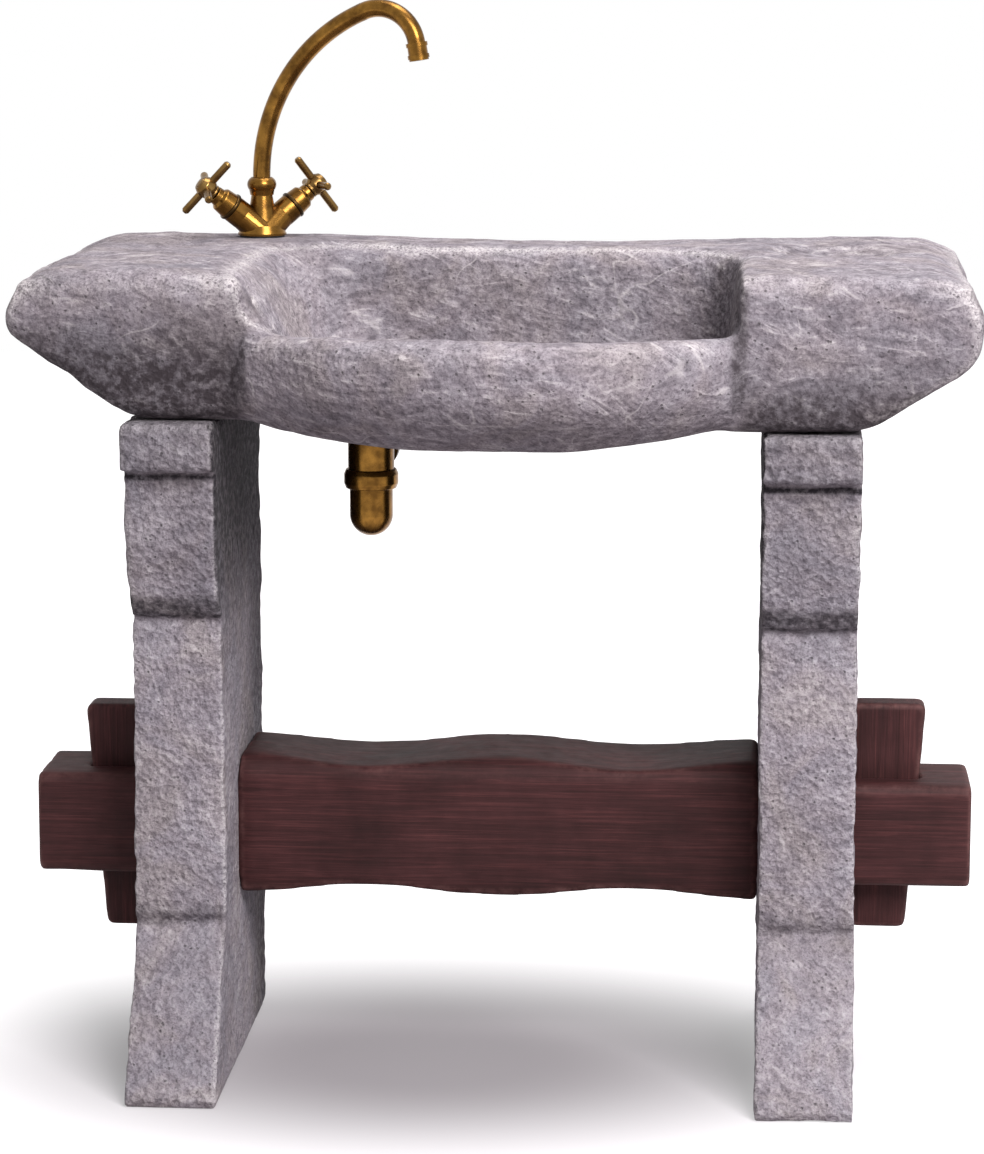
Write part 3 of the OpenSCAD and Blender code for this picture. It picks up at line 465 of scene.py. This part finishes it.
def top_softness(points):
    """Share of the way to its neighbours that a point goes in a round: most on the basin's left
    and back rim, where the slab runs down into it, and at the slab's ends, and little in the
    creases beside the bow and round the tap and the drain."""
    x, y, z = points.T
    soft = 0.10 + 0.30 * lumps(points, 0.07, 21)
    left = beside(x, basin_left, 0.025, 0.060) * (
        near(y, wing_front - 0.010, wing_front + 0.020) * (1 - near(y, 0.120, 0.150)))
    back_rim = basin_back - back_slant * (x - basin_left)
    back = beside(y, back_rim, 0.020, 0.050) * (1 - 0.6 * near(x, -0.10, 0.15)) * (
        1 - near(abs(x), basin_half - 0.015, basin_half + 0.015))
    rim = np.maximum(left, back) * near(z, slab_high - 0.070, slab_high - 0.050)
    hollow = 0.3 * (1 - near(apart(points, soap_at), 0.070, 0.085))
    ends = (near(abs(x), slab_end - 0.060, slab_end - 0.020)
            * near(z, slab_high - 0.055, slab_high - 0.025))
    soft += np.maximum.reduce([rim, hollow, ends]) * (0.95 - soft)
    soft *= 1 - 0.9 * beside(abs(x), crease_at, 0.014, 0.028) * (
        1 - near(y, wing_front - 0.016, wing_front))
    seats = near(apart(points, tap_at), 0.032, 0.060) * near(apart(points, drain_at), 0.050, 0.070)
    return soft * (0.05 + 0.95 * seats)


def top_marks(points):
    """The tools' marks, which fade out round the tap and the drain and are finer in the basin.
    The slab's back edge has also sunk a little to the right of the middle, and the arrises at
    both ends are worn down."""
    x, y, z = points.T
    seats = near(apart(points, tap_at), 0.030, 0.075) * near(apart(points, drain_at), 0.045, 0.080)
    inside = ((1 - near(abs(x), basin_half - 0.030, basin_half - 0.005))
              * near(y, wing_front - 0.020, wing_front)
              * near(z, basin_floor - 0.010, basin_floor + 0.010))
    dip = back_dip * (near(z, slab_high - 0.015, slab_high - 0.003) * near(y, 0.10, 0.20)
                      * beside(x, dip_at, 0.03, 0.24))
    worn = end_wear * (near(abs(x), slab_end - 0.055, slab_end - 0.015)
                       * near(z, slab_high - 0.045, slab_high - 0.015))
    return tooled(points, top_tool, 83) * seats * (1 - 0.5 * inside) + dip + worn


def top_flush(points):
    """1 on the underside, which bears on the legs."""
    return 1 - near(points[:, 2], slab_low + 0.002, slab_low + 0.010)


def top_painted_shade(points, outward):
    """Share of painted shade at each point: on the low parts of both wings, mostly the left one, on
    the underside, in the creases beside the bow and on the basin's right and back walls."""
    x, y, z = points.T
    uneven = 0.030 * (lumps(points, (0.07, 0.07, 0.02), 3) - 0.5)
    wing = near(abs(x), basin_half - 0.015, basin_half + 0.015) * (
        1 - near(y, wing_front + 0.005, wing_front + 0.080))
    shift = np.where(x < 0, -0.014, 0.026)
    low = 1 - near(z + uneven + shift, slab_low + 0.028, slab_high - 0.035)
    wings = np.where(x < 0, 0.88, 0.80) * wing * low
    under = 0.30 * near(-outward[:, 2], 0.2, 0.8)
    crease = 0.70 * beside(abs(x), crease_at, 0.004, 0.011) * (
        1 - near(y, wing_front, wing_front + 0.010))
    right_wall = 0.60 * near(-outward[:, 0], 0.5, 0.9) * beside(x, basin_half, 0.03, 0.06) * (
        near(y, wing_front - 0.005, wing_front + 0.010))
    back_wall = 0.20 * near(-outward[:, 1], 0.3, 0.8) * near(y, 0.0, 0.05) * (
        1 - near(z, slab_high - 0.025, slab_high - 0.010))
    return np.maximum.reduce([wings, under, crease, right_wall, back_wall])


top = new_skin("sink_top", "sink_top_carved", top_cell)
weathered(top, top_rounds, top_softness, top_marks, top_chips, top_flush)
# The slab's painted shade is kept on its points for the stone to read.
note(top.data, "painted_shade", top_painted_shade(points_of(top.data), normals_of(top.data)))
top.data.materials.append(
    volcanic_stone("dressed_volcanic_stone", top_colours, top_lays, veins=0.35, pores=0.45,
                   wisp=0.60, grain=0.70, pit=0.7, sinking=5.0))
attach(top, "sink")
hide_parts("sink_top")


# Dowels, stud, clamp, screws and aerator insert: plain drawn steel, hidden in the stone and the
# tap. Drawn steel is mid grey with fine lines along it.
def drawn_steel():
    material, tree, shader, place = new_material("drawn_steel")
    long = add(tree, "ShaderNodeMapping", {"Vector": place, "Scale": (900, 900, 30)}).outputs[0]
    lines = noise(tree, long, 1, 3)
    plug(tree, shader, {"Base Color": ramp(tree, lines, [(0.3, "#8b8d90"), (0.7, "#b4b6b9")]),
                        "Roughness": spread(tree, lines, 0.0, 1.0, 0.28, 0.45),
                        "Metallic": 1.0})
    return material


def dress(names, material):
    """Gives the CAD nodes named their material."""
    for name in names:
        nodes[name].data.materials.clear()
        nodes[name].data.materials.append(material)


dress(["locating_dowels", "tap_stud", "clamp_plate", "clamp_nut", "handle_screw_left",
       "handle_screw_right", "aerator_insert"], drawn_steel())


# Stretcher and wedges: hewn hardwood, stained dark reddish brown and oiled. The stain gives a
# low satin sheen, with fine grain along each piece and paler, rubbed arrises. The stretcher's
# tenons go through the legs, and the wedges are driven down through the tenons.
timber_rounds = 5
timber_chips = 0.0012
beam_cell = 0.0034
wedge_cell = 0.0026
shoulder_at = 0.245
beam_tool = {"sway": 0.0030, "chisel": 0.0010, "peck": 0.0002}
wedge_tool = {"sway": 0.0010, "chisel": 0.0004, "peck": 0.0002}


def stained_hardwood(name, grain):
    """grain is how often the figure repeats in a metre, along x, y and z."""
    material, tree, shader, place = new_material(name)
    fibre = add(tree, "ShaderNodeMapping", {"Vector": place, "Scale": grain}).outputs[0]
    line = noise(tree, fibre, 1, 6, 0.68, 0.5)
    patch = noise(tree, place, 9, 4, 0.6)
    scuff = noise(tree, place, 60, 5, 0.7)
    grained = ramp(tree, line, [(0.30, "#301818"), (0.70, "#5a3333"), (0.52, "#432425")])
    stain = ramp(tree, patch, [(0.32, "#8a7474"), (0.68, "#ffffff")])
    rubbed = maths(tree, "MULTIPLY", spread(tree, noted(tree, "edge"), 0.1, 1.0),
                   spread(tree, scuff, 0.38, 0.62, 0.05, 0.6))
    layer = blend(tree, 0.85, grained, stain, "MULTIPLY")
    layer = blend(tree, rubbed, layer, linear("#765250"))
    plug(tree, shader, {"Base Color": layer, "Normal": bump(tree, line, 0.5, 0.0008),
                        "Roughness": spread(tree, scuff, 0.0, 1.0, 0.50, 0.75),
                        "IOR": 1.45, "Specular IOR Level": 0.22})
    return material


def timber_flush(points):
    """1 outside the stretcher's shoulders, where tenons and wedges fit in the stone."""
    return near(abs(points[:, 0]), shoulder_at, shoulder_at + 0.017)


# The grain is drawn 3 mm wide, about twice the real width, so that it shows in the picture.
lying_grain = stained_hardwood("stained_hardwood_lying", (9, 130, 330))
upright_grain = stained_hardwood("stained_hardwood_upright", (330, 130, 9))
for node, body, cell, material, tool, seed in (
        ("stretcher_beam", "sink", beam_cell, lying_grain, beam_tool, 5),
        ("wedge_left", "wedge_left", wedge_cell, upright_grain, wedge_tool, 61),
        ("wedge_right", "wedge_right", wedge_cell, upright_grain, wedge_tool, 92)):
    timber = new_skin(node, node + "_hewn", cell)
    weathered(timber, timber_rounds, lambda p: 0.25 + 0.45 * lumps(p, 0.04, seed),
              lambda p: tooled(p, tool, seed), timber_chips, timber_flush)
    timber.data.materials.append(material)
    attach(timber, body)
    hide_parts(node)


# Tap and trap: cast and turned brass with a brown antique patina, rubbed back by hand. The
# patina lies in blots, and the rubbed metal shines between them.
def antique_brass(name, metal, patina, share, rough):
    """share is how much of the metal the patina hides on the whole, and rough is the middle
    of its roughness."""
    material, tree, shader, place = new_material(name)
    blot = noise(tree, place, 55, 4, 0.6)
    brushed = noise(tree, place, 900, 2)
    stained = spread(tree, blot, 0.36, 0.66, share + 0.3, share - 0.2)
    plug(tree, shader, {"Base Color": blend(tree, stained, linear(metal), linear(patina)),
                        "Roughness": spread(tree, blot, 0.3, 0.7, rough + 0.1, rough - 0.06),
                        "Normal": bump(tree, brushed, 0.12, 0.0003),
                        "Metallic": 1.0})
    return material


rubbed_brass = antique_brass("rubbed_antique_brass", "#a27636", "#38220f", 0.5, 0.24)
red_brass = antique_brass("reddened_antique_brass", "#9a7a48", "#4a3218", 0.5, 0.26)
dark_brass = antique_brass("darkened_brass", "#5c4526", "#1f150c", 0.5, 0.34)
dress(["tap_body", "spout_nut", "spout_tube", "aerator_housing", "bonnet_left", "bonnet_right",
       "waste_strainer", "waste_back_nut", "trap_body", "trap_cup", "trap_dip_tube"], rubbed_brass)
dress(["handle_left", "handle_right", "handle_cap_left", "handle_cap_right"], red_brass)
dress(["valve_left", "valve_right", "collar_left", "collar_right", "spindle_left",
       "spindle_right", "trap_inlet_nut", "outlet_nut"], dark_brass)


# Gaskets and washers: moulded black rubber, dusty and matte. The spout's bush is turned nylon,
# off-white and waxy.
def moulded(name, dark, light, rough, scale):
    material, tree, shader, place = new_material(name)
    dust = noise(tree, place, scale, 4)
    plug(tree, shader, {"Base Color": ramp(tree, dust, [(0.35, dark), (0.7, light)]),
                        "Roughness": rough})
    return material


dress(["tap_gasket", "clamp_washer", "waste_gasket", "waste_back_gasket", "trap_inlet_washer",
       "trap_cup_seal", "outlet_washer"],
      moulded("moulded_rubber", "#161618", "#2c2c30", 0.75, 140))
dress(["spout_bush"], moulded("turned_nylon", "#d8d3c4", "#e6e2d6", 0.5, 90))


# Studio: a white floor and a white surround, a soft lamp overhead and a broad, stronger one in
# front at the right. The floor keeps the sink's shadow in an oval under it, and goes over to
# plain white away from it.
floor_half = 6.0
shadow_shift = (0.06, 0.04, 0.0)
shadow_shape = (0.80, 1.1, 1.0)
shadow_reach = (0.08, 0.56)
surround_light = 0.32
lamp_aim = Vector((0, 0, 0.5))


def seen_as_white(tree):
    """1 for what the camera, a reflection or a glass would show, and 0 for what only lights."""
    path = add(tree, "ShaderNodeLightPath", {}).outputs
    seen = maths(tree, "MAXIMUM", path["Is Camera Ray"], path["Is Glossy Ray"])
    return maths(tree, "MAXIMUM", seen, path["Is Transmission Ray"])


def white_floor():
    material, tree, shader, place = new_material("white_studio_floor")
    oval = add(tree, "ShaderNodeMapping", {"Vector": place, "Location": shadow_shift,
                                           "Scale": shadow_shape}).outputs[0]
    away = add(tree, "ShaderNodeVectorMath", {0: oval}, operation="LENGTH").outputs["Value"]
    glow = spread(tree, away, *shadow_reach, interpolation_type="SMOOTHSTEP")
    plug(tree, shader, {"Base Color": linear("#aea8ac"), "Roughness": 1.0,
                        "Emission Color": linear("#ffffff"),
                        "Emission Strength": maths(tree, "MULTIPLY", seen_as_white(tree), glow)})
    return material


floor_mesh = bpy.data.meshes.new("studio_floor")
floor_mesh.from_pydata([(-floor_half, -floor_half, 0), (floor_half, -floor_half, 0),
                        (floor_half, floor_half, 0), (-floor_half, floor_half, 0)],
                       [], [(0, 1, 2, 3)])
floor = bpy.data.objects.new("studio_floor", floor_mesh)
scene.collection.objects.link(floor)
floor.data.materials.append(white_floor())

world = bpy.data.worlds.new("studio")
scene.world = world
world.use_nodes = True
sky = world.node_tree
plug(sky, sky.nodes["Background"],
     {"Color": linear("#ffffff"),
      "Strength": spread(sky, seen_as_white(sky), 0.0, 1.0, surround_light, 1.0)})

for name, at, size, power in (("key_lamp", (0.40, 0.25, 3.1), 1.5, 54.0),
                              ("front_lamp", (1.4, -2.5, 2.5), 1.8, 155.0)):
    lamp_data = bpy.data.lights.new(name, "AREA")
    lamp_data.size = size
    lamp_data.energy = power
    lamp = bpy.data.objects.new(name, lamp_data)
    scene.collection.objects.link(lamp)
    lamp.location = at
    lamp.rotation_mode = "QUATERNION"
    lamp.rotation_quaternion = (lamp_aim - Vector(at)).to_track_quat("-Z", "Y")
